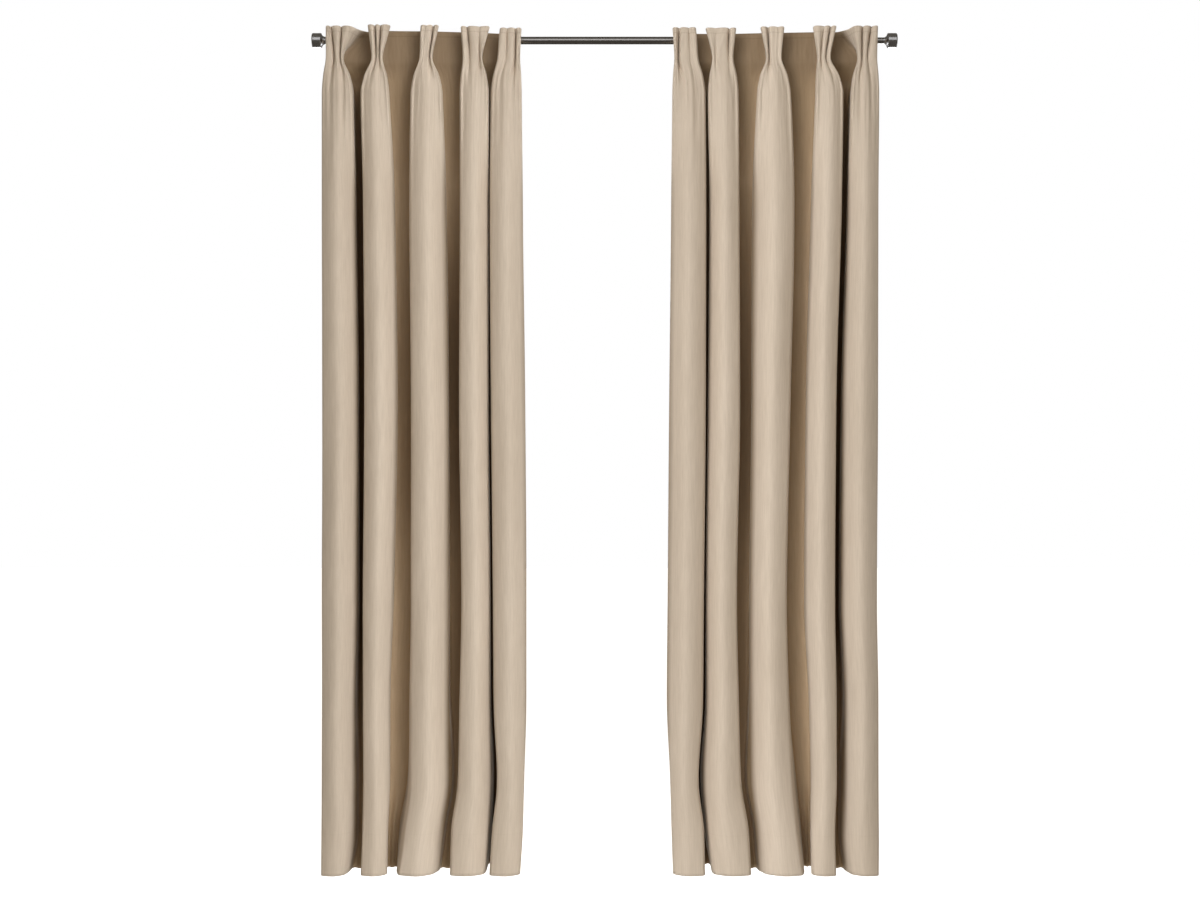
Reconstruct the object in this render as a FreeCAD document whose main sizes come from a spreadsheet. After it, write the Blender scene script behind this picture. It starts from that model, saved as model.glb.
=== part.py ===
"""A pair of pinch-pleated curtain panels on a telescoping rod held by two wall brackets.

Millimetres, +Z up.  X runs along the rod, the wall is the plane y = 0 and the room is on the -Y side.
The origin is the centre of the rectangle made by the four wall-screw holes, and the rod's axis is at
the same height.
"""
import FreeCAD, Part
import os

import Sketcher

Vector = FreeCAD.Vector
Rotation = FreeCAD.Rotation

DIMENSIONS = {
    # Wall brackets: a plate on the wall, a round arm and an open-topped cradle with a clamp screw below.
    "projection": 90.0,
    "bracket_half_span": 672.0,
    "plate_width": 30.0,
    "plate_height": 64.0,
    "plate_thickness": 4.0,
    "plate_corner": 6.0,
    "screw_spacing": 40.0,
    "screw_hole_radius": 2.6,
    "arm_radius": 5.0,
    "cradle_length": 14.0,
    "cradle_depth": 24.9,
    "cradle_back": 9.0,
    "cradle_lip": 4.0,
    "cradle_round": 9.0,
    "cradle_clearance": 0.4,
    "slot_overshoot": 1.0,
    "clamp_radius": 2.5,
    "clamp_fit": 0.08,
    "clamp_gap": 0.3,
    "clamp_shank": 9.0,
    "clamp_head_radius": 7.0,
    "clamp_head_height": 5.0,
    # Telescoping rod: a 3/4 inch outer tube and a 5/8 inch inner tube.
    "outer_radius": 9.525,
    "inner_radius": 7.9375,
    "tube_wall": 1.0,
    "outer_left_end": -706.0,
    "outer_length": 1129.0,
    "inner_right_end": 719.0,
    "inner_length": 1114.0,
    "bush_length": 15.0,
    "bush_lip": 1.5,
    "running_fit": 0.05,
    "glide_flange": 2.0,
    "plug_length": 15.0,
    # Finials: a drum cap on a coved collar, screwed to the rod by a stud.
    "stud_radius": 3.0,
    "stud_reach": 12.0,
    "stud_length": 36.0,
    "finial_gap": 0.3,
    "collar_length": 10.5,
    "collar_rim_radius": 16.0,
    "cap_radius": 18.5,
    "cap_length": 24.0,
    "cap_round": 2.5,
    # Cloth: drop, where it hangs and how deep the folds are.  Depths are measured from the wall.
    "cloth_thickness": 1.8,
    "cloth_gap": 0.3,
    "heading_rise": 17.0,
    "drop": 2134.0,
    "pinch_drop": 70.0,
    "fold_drop": 180.0,
    "heading_depth": 104.0,
    "hem_back_depth": 65.0,
    "fan_depth": 166.0,
    "pinch_depth": 150.0,
    "fold_depth": 166.0,
    "hem_depth": 172.0,
    "pinch_width": 24.0,
    "seam_width": 8.0,
    "fold_waist": 0.7,
    "fold_shoulder": 0.3,
    "fold_crown": 0.5,
    # Back tabs: one strap loop behind each pleat.
    "tab_width": 26.0,
    "tab_thickness": 1.6,
    "tab_clearance": 0.5,
    "outer_tab_shift": 19.0,
}

# Pleats of each panel from its outer edge to the middle: the pleat's seam, the width of its fan, the
# middle and width of the fold below it, and the fold's middle at the hem.
PLEAT_FIELDS = ("seam", "fan", "fold", "fold_width", "hem")
PLEATS = {
    "left": (
        (-670.0, 76.0, -664.0, 78.0, -672.0),
        (-564.0, 60.0, -562.0, 74.0, -572.0),
        (-442.0, 52.0, -434.0, 90.0, -462.0),
        (-323.0, 74.0, -321.0, 70.0, -338.0),
        (-225.0, 56.0, -236.0, 84.0, -240.0),
    ),
    "right": (
        (665.0, 80.0, 652.0, 78.0, 660.0),
        (559.0, 68.0, 557.0, 72.0, 556.0),
        (426.0, 64.0, 429.0, 98.0, 452.0),
        (299.0, 78.0, 307.0, 74.0, 320.0),
        (202.0, 60.0, 213.0, 90.0, 216.0),
    ),
}
SIDES = {"left": -1, "right": 1}

# The collar's cove: share of its length, and share of the way from the rod's radius to the rim's.
COVE = ((0.3, 0.0), (0.65, 0.25), (0.85, 0.55))
EDGE_SEARCH = 1.0
PARALLEL = 1e-6

document = FreeCAD.newDocument("curtains_on_rod")
sheet = document.addObject("Spreadsheet::Sheet", "dimensions")
sub_parts = {}


def fill_sheet():
    """Write every driving dimension to the sheet under its own name."""
    values = dict(DIMENSIONS)
    for side, pleats in PLEATS.items():
        for number, pleat in enumerate(pleats, 1):
            for field, value in zip(PLEAT_FIELDS, pleat):
                values[f"{side}_pleat_{number}_{field}"] = value
    for row, (alias, value) in enumerate(values.items(), 1):
        sheet.set(f"A{row}", alias)
        sheet.set(f"B{row}", str(value))
        sheet.setAlias(f"B{row}", alias)
    document.recompute()


def size(alias):
    """A driving dimension's value, for the shapes that are worked out in code."""
    return float(getattr(sheet, alias))


def bind(target, bindings):
    """Tie properties to expressions; {name} in an expression is the sheet's cell of that name."""
    for name, expression in bindings.items():
        target.setExpression(name, in_sheet(expression))


def in_sheet(expression):
    """Turn an expression with {name} in it into one that reads the sheet."""
    return expression.replace("{", "dimensions.").replace("}", "")


def keep(name, piece):
    """Name a finished sub-part, which also names its file."""
    piece.Label = name
    sub_parts[name] = piece
    return piece


def new_body(name):
    return keep(name, document.addObject("PartDesign::Body", name))


def new_sketch(body, name, role):
    """A sketch on one of the body's own origin planes."""
    sketch = body.newObject("Sketcher::SketchObject", f"{body.Name}_{name}")
    plane = next(item for item in body.Origin.OriginFeatures if item.Role == role)
    sketch.AttachmentSupport = [(plane, "")]
    sketch.MapMode = "FlatFace"
    return sketch


def add_bound(sketch, constraint, expression):
    index = sketch.addConstraint(constraint)
    sketch.setExpression(f"Constraints[{index}]", in_sheet(expression))


def draw_outline(sketch, corners):
    """A closed outline of straight lines whose corners are pairs of expressions."""
    count = len(corners)
    guess = [Vector(index, index % 2 + index, 0) for index in range(count)]
    for index in range(count):
        sketch.addGeometry(Part.LineSegment(guess[index], guess[(index + 1) % count]), False)
    for index in range(count):
        sketch.addConstraint(Sketcher.Constraint("Coincident", index, 2, (index + 1) % count, 1))
    for index, (across, up) in enumerate(corners):
        add_bound(sketch, Sketcher.Constraint("DistanceX", -1, 1, index, 1, guess[index].x), across)
        add_bound(sketch, Sketcher.Constraint("DistanceY", -1, 1, index, 1, guess[index].y), up)


def draw_circle(sketch, radius, up="0"):
    """A circle on the sketch's vertical axis."""
    guess = 5.0
    index = sketch.addGeometry(Part.Circle(Vector(0, guess, 0), Vector(0, 0, 1), guess), False)
    add_bound(sketch, Sketcher.Constraint("Radius", index, guess), radius)
    add_bound(sketch, Sketcher.Constraint("DistanceX", -1, 1, index, 3, guess), "0")
    add_bound(sketch, Sketcher.Constraint("DistanceY", -1, 1, index, 3, guess), up)


def pad(body, sketch, length, symmetric=False):
    feature = body.newObject("PartDesign::Pad", f"{sketch.Name}_pad")
    feature.Profile = sketch
    feature.SideType = "Symmetric" if symmetric else "One side"
    bind(feature, {"Length": length})
    return feature


def pocket_through(body, sketch, symmetric=False):
    """Cut a sketch right through the body, and make sure that it did cut."""
    document.recompute()
    before = body.Shape.Volume
    feature = body.newObject("PartDesign::Pocket", f"{sketch.Name}_pocket")
    feature.Profile = sketch
    feature.Type = "ThroughAll"
    feature.SideType = "Symmetric" if symmetric else "One side"
    document.recompute()
    if body.Shape.Volume >= before:
        raise RuntimeError(f"{sketch.Name} cut nothing")
    return feature


def round_edges(body, base, radius, wanted):
    """Fillet the edges of a feature that pass a test."""
    document.recompute()
    names = [f"Edge{number}" for number, edge in enumerate(base.Shape.Edges, 1) if wanted(edge)]
    feature = body.newObject("PartDesign::Fillet", f"{body.Name}_fillet")
    feature.Base = (base, names)
    bind(feature, {"Radius": radius})
    return feature


def runs_along(edge, direction):
    """True for a straight edge parallel to a direction."""
    if not isinstance(edge.Curve, Part.Line):
        return False
    return abs(abs(edge.Curve.Direction.dot(direction)) - 1) < PARALLEL


def make_tube(name, start, length, outer, inner):
    """A tube or ring along the rod's axis: its left end, length and two radii are expressions."""
    body = new_body(name)
    sketch = new_sketch(body, "rings", "YZ_Plane")
    draw_circle(sketch, outer)
    draw_circle(sketch, inner)
    pad(body, sketch, length)
    bind(body, {"Placement.Base.x": start, "Placement.Base.y": "-{projection}"})
    return body


def turn_profile(body, corners):
    """Revolve an outline about the rod's axis."""
    sketch = new_sketch(body, "profile", "XY_Plane")
    draw_outline(sketch, corners)
    feature = body.newObject("PartDesign::Revolution", f"{body.Name}_turned")
    feature.Profile = sketch
    feature.ReferenceAxis = (sketch, ["H_Axis"])
    feature.Angle = 360.0
    return feature


def make_plate(side):
    """The plate on the wall, with a screw hole above and below the arm."""
    body = new_body(f"{side}_bracket_plate")
    outline = new_sketch(body, "outline", "XZ_Plane")
    half_width = "{plate_width} / 2"
    half_height = "{plate_height} / 2"
    draw_outline(outline, [
        (f"-{half_width}", f"-{half_height}"),
        (half_width, f"-{half_height}"),
        (half_width, half_height),
        (f"-{half_width}", half_height),
    ])
    plate = pad(body, outline, "{plate_thickness}")
    round_edges(body, plate, "{plate_corner}", lambda edge: runs_along(edge, Vector(0, 1, 0)))
    holes = new_sketch(body, "holes", "XZ_Plane")
    for up in ("{screw_spacing} / 2", "-{screw_spacing} / 2"):
        draw_circle(holes, "{screw_hole_radius}", up)
    pocket_through(body, holes, symmetric=True)
    bind(body, {"Placement.Base.x": f"{SIDES[side]} * {{bracket_half_span}}"})


def make_arm(side):
    """The round arm from the plate to the back of the cradle."""
    arm = keep(f"{side}_bracket_arm", document.addObject("Part::Cylinder", f"{side}_bracket_arm"))
    arm.Placement.Rotation = Rotation(Vector(1, 0, 0), 90)
    bind(arm, {
        "Radius": "{arm_radius}",
        "Height": "{projection} - {plate_thickness} - {cradle_depth} / 2",
        "Placement.Base.x": f"{SIDES[side]} * {{bracket_half_span}}",
        "Placement.Base.y": "-{plate_thickness}",
    })


def make_cradle(side, rod_radius):
    """The open-topped cradle: the rod lifts straight out, and a screw through the floor clamps it."""
    body = new_body(f"{side}_bracket_cradle")
    half_depth = "{cradle_depth} / 2"
    block = new_sketch(body, "block", "YZ_Plane")
    draw_outline(block, [
        (f"-{half_depth}", f"-{half_depth}"),
        (half_depth, f"-{half_depth}"),
        (half_depth, "{cradle_back}"),
        ("0", "{cradle_back}"),
        ("0", "{cradle_lip}"),
        (f"-{half_depth}", "{cradle_lip}"),
    ])
    blank = pad(body, block, "{cradle_length}", symmetric=True)
    limit = -size("cradle_depth") / 2 + EDGE_SEARCH

    def is_front_bottom(edge):
        middle = edge.CenterOfMass
        return runs_along(edge, Vector(1, 0, 0)) and middle.y < limit and middle.z < limit

    round_edges(body, blank, "{cradle_round}", is_front_bottom)
    bore_radius = f"{{{rod_radius}}} + {{cradle_clearance}}"
    bore = new_sketch(body, "bore", "YZ_Plane")
    draw_circle(bore, bore_radius)
    pocket_through(body, bore, symmetric=True)
    slot = new_sketch(body, "slot", "YZ_Plane")
    draw_outline(slot, [
        (f"-({bore_radius})", "0"),
        (bore_radius, "0"),
        (bore_radius, "{cradle_back} + {slot_overshoot}"),
        (f"-({bore_radius})", "{cradle_back} + {slot_overshoot}"),
    ])
    pocket_through(body, slot, symmetric=True)
    screw_hole = new_sketch(body, "screw_hole", "XY_Plane")
    draw_circle(screw_hole, "{clamp_radius} + {clamp_fit}")
    pocket_through(body, screw_hole)
    bind(body, {
        "Placement.Base.x": f"{SIDES[side]} * {{bracket_half_span}}",
        "Placement.Base.y": "-{projection}",
    })


def make_clamp_screw(side, rod_radius):
    """The thumbscrew under the cradle: a shank that stops just short of the rod, and a round head."""
    shank = document.addObject("Part::Cylinder", f"{side}_clamp_shank")
    head = document.addObject("Part::Cylinder", f"{side}_clamp_head")
    across = f"{SIDES[side]} * {{bracket_half_span}}"
    shank_bottom = f"-{{{rod_radius}}} - {{clamp_gap}} - {{clamp_shank}}"
    bind(shank, {
        "Radius": "{clamp_radius}",
        "Height": "{clamp_shank}",
        "Placement.Base.x": across,
        "Placement.Base.y": "-{projection}",
        "Placement.Base.z": shank_bottom,
    })
    bind(head, {
        "Radius": "{clamp_head_radius}",
        "Height": "{clamp_head_height}",
        "Placement.Base.x": across,
        "Placement.Base.y": "-{projection}",
        "Placement.Base.z": f"{shank_bottom} - {{clamp_head_height}}",
    })
    screw = keep(f"{side}_clamp_screw", document.addObject("Part::Fuse", f"{side}_clamp_screw"))
    screw.Base = shank
    screw.Tool = head


def make_rod():
    """The two tubes, the bush and glide between them, and a threaded plug in each end."""
    outer_bore = "{outer_radius} - {tube_wall}"
    inner_bore = "{inner_radius} - {tube_wall}"
    inner_left_end = "{inner_right_end} - {inner_length}"
    make_tube("outer_rod_tube", "{outer_left_end}", "{outer_length}", "{outer_radius}", outer_bore)
    make_tube("inner_rod_tube", inner_left_end, "{inner_length}", "{inner_radius}", inner_bore)
    thread = "{stud_radius} + {running_fit}"
    make_tube("left_end_plug", "{outer_left_end}", "{plug_length}", outer_bore, thread)
    make_tube("right_end_plug", "{inner_right_end} - {plug_length}", "{plug_length}", inner_bore, thread)
    bush = new_body("rod_bush")
    turn_profile(bush, [
        ("-{bush_length}", "{inner_radius} + {running_fit}"),
        ("{bush_lip}", "{inner_radius} + {running_fit}"),
        ("{bush_lip}", "{outer_radius}"),
        ("0", "{outer_radius}"),
        ("0", outer_bore),
        ("-{bush_length}", outer_bore),
    ])
    bind(bush, {
        "Placement.Base.x": "{outer_left_end} + {outer_length}",
        "Placement.Base.y": "-{projection}",
    })
    glide = new_body("inner_rod_glide")
    turn_profile(glide, [
        ("-{glide_flange}", "0"),
        ("-{glide_flange}", f"{outer_bore} - {{running_fit}}"),
        ("0", f"{outer_bore} - {{running_fit}}"),
        ("0", inner_bore),
        ("{plug_length}", inner_bore),
        ("{plug_length}", "0"),
    ])
    bind(glide, {"Placement.Base.x": inner_left_end, "Placement.Base.y": "-{projection}"})


def make_finial(side, rod_radius):
    """Stud, coved collar and drum cap, each drawn pointing to +X and then turned for its side."""
    collar_start = "{finial_gap}"
    collar_end = "{finial_gap} + {collar_length}"
    rod = f"{{{rod_radius}}}"
    stud = new_body(f"{side}_finial_stud")
    turn_profile(stud, [
        ("-{stud_reach}", "0"),
        ("-{stud_reach}", "{stud_radius}"),
        ("{stud_length} - {stud_reach}", "{stud_radius}"),
        ("{stud_length} - {stud_reach}", "0"),
    ])
    collar = new_body(f"{side}_finial_collar")
    flare = f"({{collar_rim_radius}} - {rod})"
    cove = [
        (f"{collar_start} + {{collar_length}} * {along}", f"{rod} + {flare} * {outward}")
        for along, outward in COVE
    ]
    turn_profile(collar, [
        (collar_start, "{stud_radius}"),
        (collar_start, rod),
        *cove,
        (collar_end, "{collar_rim_radius}"),
        (collar_end, "{stud_radius}"),
    ])
    cap = new_body(f"{side}_finial_cap")
    socket_end = "{stud_length} - {stud_reach}"
    drum = turn_profile(cap, [
        (collar_end, "{stud_radius}"),
        (collar_end, "{cap_radius}"),
        (f"{collar_end} + {{cap_length}}", "{cap_radius}"),
        (f"{collar_end} + {{cap_length}}", "0"),
        (socket_end, "0"),
        (socket_end, "{stud_radius}"),
    ])
    rim = size("cap_radius") - EDGE_SEARCH
    round_edges(cap, drum, "{cap_round}", lambda edge: edge.BoundBox.ZMax > rim)
    rod_end = "{outer_left_end}" if side == "left" else "{inner_right_end}"
    for body in (stud, collar, cap):
        body.Placement.Rotation = Rotation(Vector(0, 0, 1), 0 if side == "right" else 180)
        bind(body, {"Placement.Base.x": rod_end, "Placement.Base.y": "-{projection}"})


def make_tab(side, number):
    """A strap loop that hangs the pleat from the rod, sewn to the heading's back at the pleat's seam."""
    name = f"{side}_tab_{number}"
    body = new_body(name)
    front = "{projection} - {heading_depth}"
    inside = "{outer_radius} + {tab_clearance}"
    outside = f"{inside} + {{tab_thickness}}"
    outer = new_sketch(body, "strap", "YZ_Plane")
    draw_outline(outer, [
        (front, f"-({outside})"),
        (outside, f"-({outside})"),
        (outside, outside),
        (front, outside),
    ])
    strap = pad(body, outer, "{tab_width}", symmetric=True)
    rod_back = size("outer_radius")

    def is_back(edge):
        return runs_along(edge, Vector(1, 0, 0)) and edge.CenterOfMass.y > rod_back

    # The two back corners are rounded until they all but meet, which wraps the strap round the rod.
    round_edges(body, strap, f"{outside} - {{tab_clearance}}", is_back)
    hole = new_sketch(body, "rod_space", "YZ_Plane")
    draw_circle(hole, inside)
    pocket_through(body, hole, symmetric=True)
    window = new_sketch(body, "front_space", "YZ_Plane")
    draw_outline(window, [
        (f"{front} + {{tab_thickness}}", f"-({inside})"),
        ("0", f"-({inside})"),
        ("0", inside),
        (f"{front} + {{tab_thickness}}", inside),
    ])
    pocket_through(body, window, symmetric=True)
    shift = f" - {SIDES[side]} * {{outer_tab_shift}}" if number == 1 else ""
    bind(body, {
        "Placement.Base.x": f"{{{side}_pleat_{number}_seam}}{shift}",
        "Placement.Base.y": "-{projection}",
    })


def cloth_levels(side, number):
    """One pleat at four heights: height, middle, back width, front width, back depth, front depth."""
    seam, fan, fold, front_width, hem = (
        size(f"{side}_pleat_{number}_{field}") for field in PLEAT_FIELDS
    )
    top = size("heading_rise")
    pinch_height = top - size("pinch_drop")
    fold_height = top - size("fold_drop")
    hem_height = top - size("drop")
    heading = size("heading_depth")
    seam_width = size("seam_width")
    back_width = front_width * size("fold_waist")
    return (
        (top, seam, seam_width, fan, heading, size("fan_depth")),
        (pinch_height, seam, seam_width, size("pinch_width"), heading, size("pinch_depth")),
        (fold_height, fold, back_width, front_width, heading, size("fold_depth")),
        (hem_height, hem, back_width, front_width, size("hem_back_depth"), size("hem_depth")),
    )


def closed_wire(corners, height):
    points = [Vector(across, depth, height) for across, depth in corners]
    return Part.makePolygon(points + points[:1])


def shoulder_depth(front_width, front_depth):
    """How far from the wall a fold's side ends and its rounded front starts."""
    return front_depth - front_width * size("fold_shoulder")


def fold_wire(level):
    """The band of cloth that makes one fold, seen from above: back edge, round the front, back edge."""
    height, middle, back_width, front_width, back_depth, front_depth = level
    thickness = size("cloth_thickness")
    shoulder = shoulder_depth(front_width, front_depth)
    half_back = back_width / 2
    half_front = front_width / 2
    half_crown = half_front * size("fold_crown")
    outside = ((half_back, back_depth), (half_front, shoulder), (half_crown, front_depth))
    inside = (
        (half_crown - thickness / 2, front_depth - thickness),
        (half_front - thickness, shoulder - thickness / 2),
        (half_back - thickness, back_depth),
    )
    corners = [(middle - across, -depth) for across, depth in outside]
    corners += [(middle + across, -depth) for across, depth in reversed(outside)]
    corners += [(middle + across, -depth) for across, depth in reversed(inside)]
    corners += [(middle - across, -depth) for across, depth in inside]
    return closed_wire(corners, height)


def fold_flank(level, depth):
    """How far a fold's outer face is from its middle at a depth near its back edge."""
    _, _, back_width, front_width, back_depth, front_depth = level
    share = (depth - back_depth) / (shoulder_depth(front_width, front_depth) - back_depth)
    return (back_width + (front_width - back_width) * share) / 2


def web_wire(outer_level, inner_level, direction):
    """The flat cloth between two folds at one height: it meets the outer one and just clears the next."""
    height, back_depth = outer_level[0], outer_level[4]
    front_depth = back_depth + size("cloth_thickness")
    corners = []
    for depth in (back_depth, front_depth):
        corners.append((outer_level[1] + direction * fold_flank(outer_level, depth), -depth))
    for depth in (front_depth, back_depth):
        far_side = inner_level[1] - direction * (fold_flank(inner_level, depth) + size("cloth_gap"))
        corners.append((far_side, -depth))
    return closed_wire(corners, height)


def keep_cloth(name, wires):
    piece = keep(name, document.addObject("Part::Feature", name))
    piece.Shape = Part.makeLoft(wires, True, True)
    piece.Placement = FreeCAD.Placement()


def make_panel(side):
    """Five folds with a back tab each, and the four webs between them."""
    levels = [cloth_levels(side, number) for number in range(1, len(PLEATS[side]) + 1)]
    for number, fold in enumerate(levels, 1):
        keep_cloth(f"{side}_pleat_{number}", [fold_wire(level) for level in fold])
        make_tab(side, number)
    for number, (outer_fold, inner_fold) in enumerate(zip(levels, levels[1:]), 1):
        wires = [web_wire(outer, inner, -SIDES[side]) for outer, inner in zip(outer_fold, inner_fold)]
        keep_cloth(f"{side}_web_{number}", wires)


def check_document():
    """Stop if any object failed, or any sub-part isn't one valid shape."""
    document.recompute()
    for item in document.Objects:
        if "Invalid" in item.State or "Error" in item.State:
            raise RuntimeError(f"{item.Label} failed: {item.State}")
    for name, piece in sub_parts.items():
        if piece.Shape.isNull() or not piece.Shape.isValid() or not piece.Shape.Solids:
            raise RuntimeError(f"{name} isn't a valid solid")


fill_sheet()
for side_name, tube_radius in (("left", "outer_radius"), ("right", "inner_radius")):
    make_plate(side_name)
    make_arm(side_name)
    make_cradle(side_name, tube_radius)
    make_clamp_screw(side_name, tube_radius)
    make_finial(side_name, tube_radius)
    make_panel(side_name)
make_rod()
check_document()
os.makedirs("parts", exist_ok=True)
for part_name, part_object in sub_parts.items():
    part_object.Shape.exportStep(f"parts/{part_name}.step")
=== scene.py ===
"""A pair of pinch-pleated curtain panels on a telescoping rod: the looks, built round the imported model.

Each panel is one continuous cloth.  Its cross-section, seen from above, is a smooth curve guided by control
points, which say where every pleat's fingers, flanks and webs are.  The points change with height, from the
three-finger heading through the tack to the long folds and the hem.

Lengths are in metres unless a name ends in mm.  Heights on the cloth are drops: distances below the heading's
top.  Depths are distances out from the wall.
"""
import math
from collections import namedtuple

import bpy
import numpy as np
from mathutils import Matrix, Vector


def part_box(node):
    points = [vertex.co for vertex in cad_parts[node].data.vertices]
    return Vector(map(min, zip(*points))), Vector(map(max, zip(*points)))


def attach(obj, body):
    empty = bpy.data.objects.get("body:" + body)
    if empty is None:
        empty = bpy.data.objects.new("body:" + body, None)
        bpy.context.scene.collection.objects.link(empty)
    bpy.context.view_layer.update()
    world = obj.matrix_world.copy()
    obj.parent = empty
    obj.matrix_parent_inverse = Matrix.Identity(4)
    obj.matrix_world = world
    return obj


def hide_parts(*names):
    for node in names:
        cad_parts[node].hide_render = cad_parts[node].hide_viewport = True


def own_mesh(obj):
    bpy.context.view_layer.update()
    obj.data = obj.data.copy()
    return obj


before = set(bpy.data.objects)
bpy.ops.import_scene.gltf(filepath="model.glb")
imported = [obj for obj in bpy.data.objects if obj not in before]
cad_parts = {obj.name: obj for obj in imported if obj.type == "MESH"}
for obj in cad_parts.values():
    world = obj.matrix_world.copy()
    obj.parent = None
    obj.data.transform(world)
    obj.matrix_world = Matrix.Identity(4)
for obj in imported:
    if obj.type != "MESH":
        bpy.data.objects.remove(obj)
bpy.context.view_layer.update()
scene = bpy.context.scene

MM = 0.001


# --- Where things are, read from the frame ------------------------------------------------------------------

def middle(node):
    """The middle of a CAD node's box."""
    low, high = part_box(node)
    return (low + high) / 2


ROD_AXIS = middle("outer_rod_tube")
HEADING_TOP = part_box("left_pleat_1")[1].z
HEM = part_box("left_pleat_1")[0].z
DROP = HEADING_TOP - HEM
HEADING_BACK = -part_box("left_tab_1")[0].y
FOLD_FRONT = -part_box("left_pleat_3")[0].y


# --- Cloth: the shape of the two panels ---------------------------------------------------------------------

# One pleat, across the window in millimetres:
#   fan, tack   left edge, ridge, slit, ridge, slit, ridge and right edge of the three fingers, near the top
#               and where they are tacked together
#   slits       how deep the two slits are near the top, and at the tack
#   edges       left and right edge of the fold below, at each drop in FOLD_DROPS
#   rise        how much higher the heading's top stands here than HEADING_TOP, or lower if it is negative
#   flare       where a flank that opens out into the web meets it
#   spread      how far the left and right side of the fold run out into the web near the hem
#   crease      how clearly the finger ridges carry on into the fold, from 0 to 1
Pleat = namedtuple(
    "Pleat", "fan tack slits edges rise flare spread crease", defaults=(0, None, (0, 0), 0.3),
)
FOLD_DROPS = (0.165, 0.44, 0.95, 1.45, 1.70, 1.90, 2.03, 2.134)

LEFT_PLEATS = (
    Pleat(
        fan=(-696, -689, -681, -668, -655, -643, -622),
        tack=(-698, -692, -676, -669, -660, -656, -651),
        slits=((26, 30), (14, 12)),
        edges=(
            (-705, -624), (-706, -623), (-705, -617), (-706, -618),
            (-705, -625), (-705, -627), (-705, -632), (-704, -643),
        ),
        flare=-600,
        spread=(0, 14),
        crease=1,
    ),
    Pleat(
        fan=(-591, -582, -571, -565, -557, -542, -530),
        tack=(-583, -577, -570, -566, -562, -558, -553),
        slits=((30, 32), (12, 12)),
        edges=(
            (-607, -534), (-602, -524), (-599, -518), (-602, -527),
            (-601, -535), (-600, -535), (-602, -539), (-605, -540),
        ),
        rise=3,
    ),
    Pleat(
        fan=(-458, -449, -441, -432, -424, -415, -409),
        tack=(-462, -456, -449, -441, -435, -431, -427),
        slits=((2, 36), (1, 16)),
        edges=(
            (-482, -400), (-486, -394), (-482, -388), (-482, -387),
            (-485, -388), (-485, -388), (-499, -410), (-513, -421),
        ),
        rise=2,
        spread=(16, 18),
    ),
    Pleat(
        fan=(-357, -349, -339, -330, -308, -287, -281),
        tack=(-353, -347, -334, -315, -309, -305, -301),
        slits=((34, 8), (12, 12)),
        edges=(
            (-358, -284), (-358, -286), (-360, -286), (-354, -282),
            (-359, -282), (-363, -281), (-380, -286), (-382, -294),
        ),
        rise=-1,
        spread=(0, 7),
    ),
    Pleat(
        fan=(-259, -250, -238, -228, -217, -208, -201),
        tack=(-266, -256, -242, -228, -219, -212, -205),
        slits=((14, 26), (6, 20)),
        edges=(
            (-280, -201), (-283, -200), (-280, -194), (-275, -191),
            (-273, -191), (-264, -196), (-277, -199), (-283, -205),
        ),
        rise=-5,
        crease=0.8,
    ),
)
RIGHT_PLEATS = (
    Pleat(
        fan=(176, 182, 194, 204, 218, 231, 238),
        tack=(181, 186, 193, 202, 222, 236, 245),
        slits=((28, 10), (20, 4)),
        edges=(
            (176, 261), (175, 263), (170, 262), (166, 257),
            (164, 255), (172, 243), (175, 257), (178, 259),
        ),
        rise=-4,
        crease=0.8,
    ),
    Pleat(
        fan=(259, 265, 285, 308, 320, 332, 339),
        tack=(277, 281, 286, 291, 319, 327, 333),
        slits=((4, 34), (4, 10)),
        edges=(
            (266, 344), (272, 346), (268, 348), (263, 340),
            (263, 345), (254, 351), (264, 370), (278, 375),
        ),
        rise=-5,
        spread=(4, 0),
    ),
    Pleat(
        fan=(397, 404, 417, 429, 441, 453, 460),
        tack=(413, 417, 422, 427, 439, 450, 454),
        slits=((34, 2), (16, 1)),
        edges=(
            (389, 476), (381, 486), (379, 476), (374, 466),
            (375, 472), (377, 482), (397, 493), (406, 506),
        ),
        rise=-2,
        spread=(20, 20),
    ),
    Pleat(
        fan=(529, 538, 558, 567, 575, 584, 591),
        tack=(542, 547, 552, 558, 565, 573, 578),
        slits=((12, 34), (10, 12)),
        edges=(
            (535, 607), (529, 604), (516, 590), (512, 587),
            (523, 590), (527, 590), (525, 585), (526, 587),
        ),
    ),
    Pleat(
        fan=(626, 642, 655, 664, 677, 690, 695),
        tack=(643, 649, 656, 662, 670, 687, 696),
        slits=((30, 32), (14, 10)),
        edges=(
            (624, 697), (621, 696), (607, 696), (604, 693),
            (615, 696), (615, 696), (615, 696), (624, 694),
        ),
        flare=604,
        spread=(18, 0),
        crease=1,
    ),
)

# The heading, from the top down.  The slits between the fingers are shallow at the very top.  They are nearly
# full depth at FAN_DROP, where the fingers have already come together by a share of the way to the tack.
TOP_SLIT_SHARE = 0.25
FAN_DROP = 0.026
FAN_CLOSING = 0.42
TACK_DROP = 0.075
# Below the tack the folds open quickly at first: where, and how far open they are by then.
OPENING_DROP = 0.122
OPENING_SHARE = 0.70

# How far the fingers lie behind the front of the folds, and how much further at the tack.
FINGER_SETBACK = 0.004
TACK_SETBACK = 0.012
# A finger's shoulder: how far behind its ridge, and where it lies between the finger's edge and the ridge.
FINGER_ROUND = 0.002
FINGER_SHOULDER = 0.3
# Half the width of a slit and of the seam at the back of a pleat, and the room between the web and the tabs.
SLIT_HALF = 0.0022
SEAM_HALF = 0.004
TAB_CLEARANCE = 0.0006
# Where the middle of a flank lies, from the seam out to the finger's edge and from the web forward.
FLANK_OUT = 0.55
FLANK_FORWARD = 0.35
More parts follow.
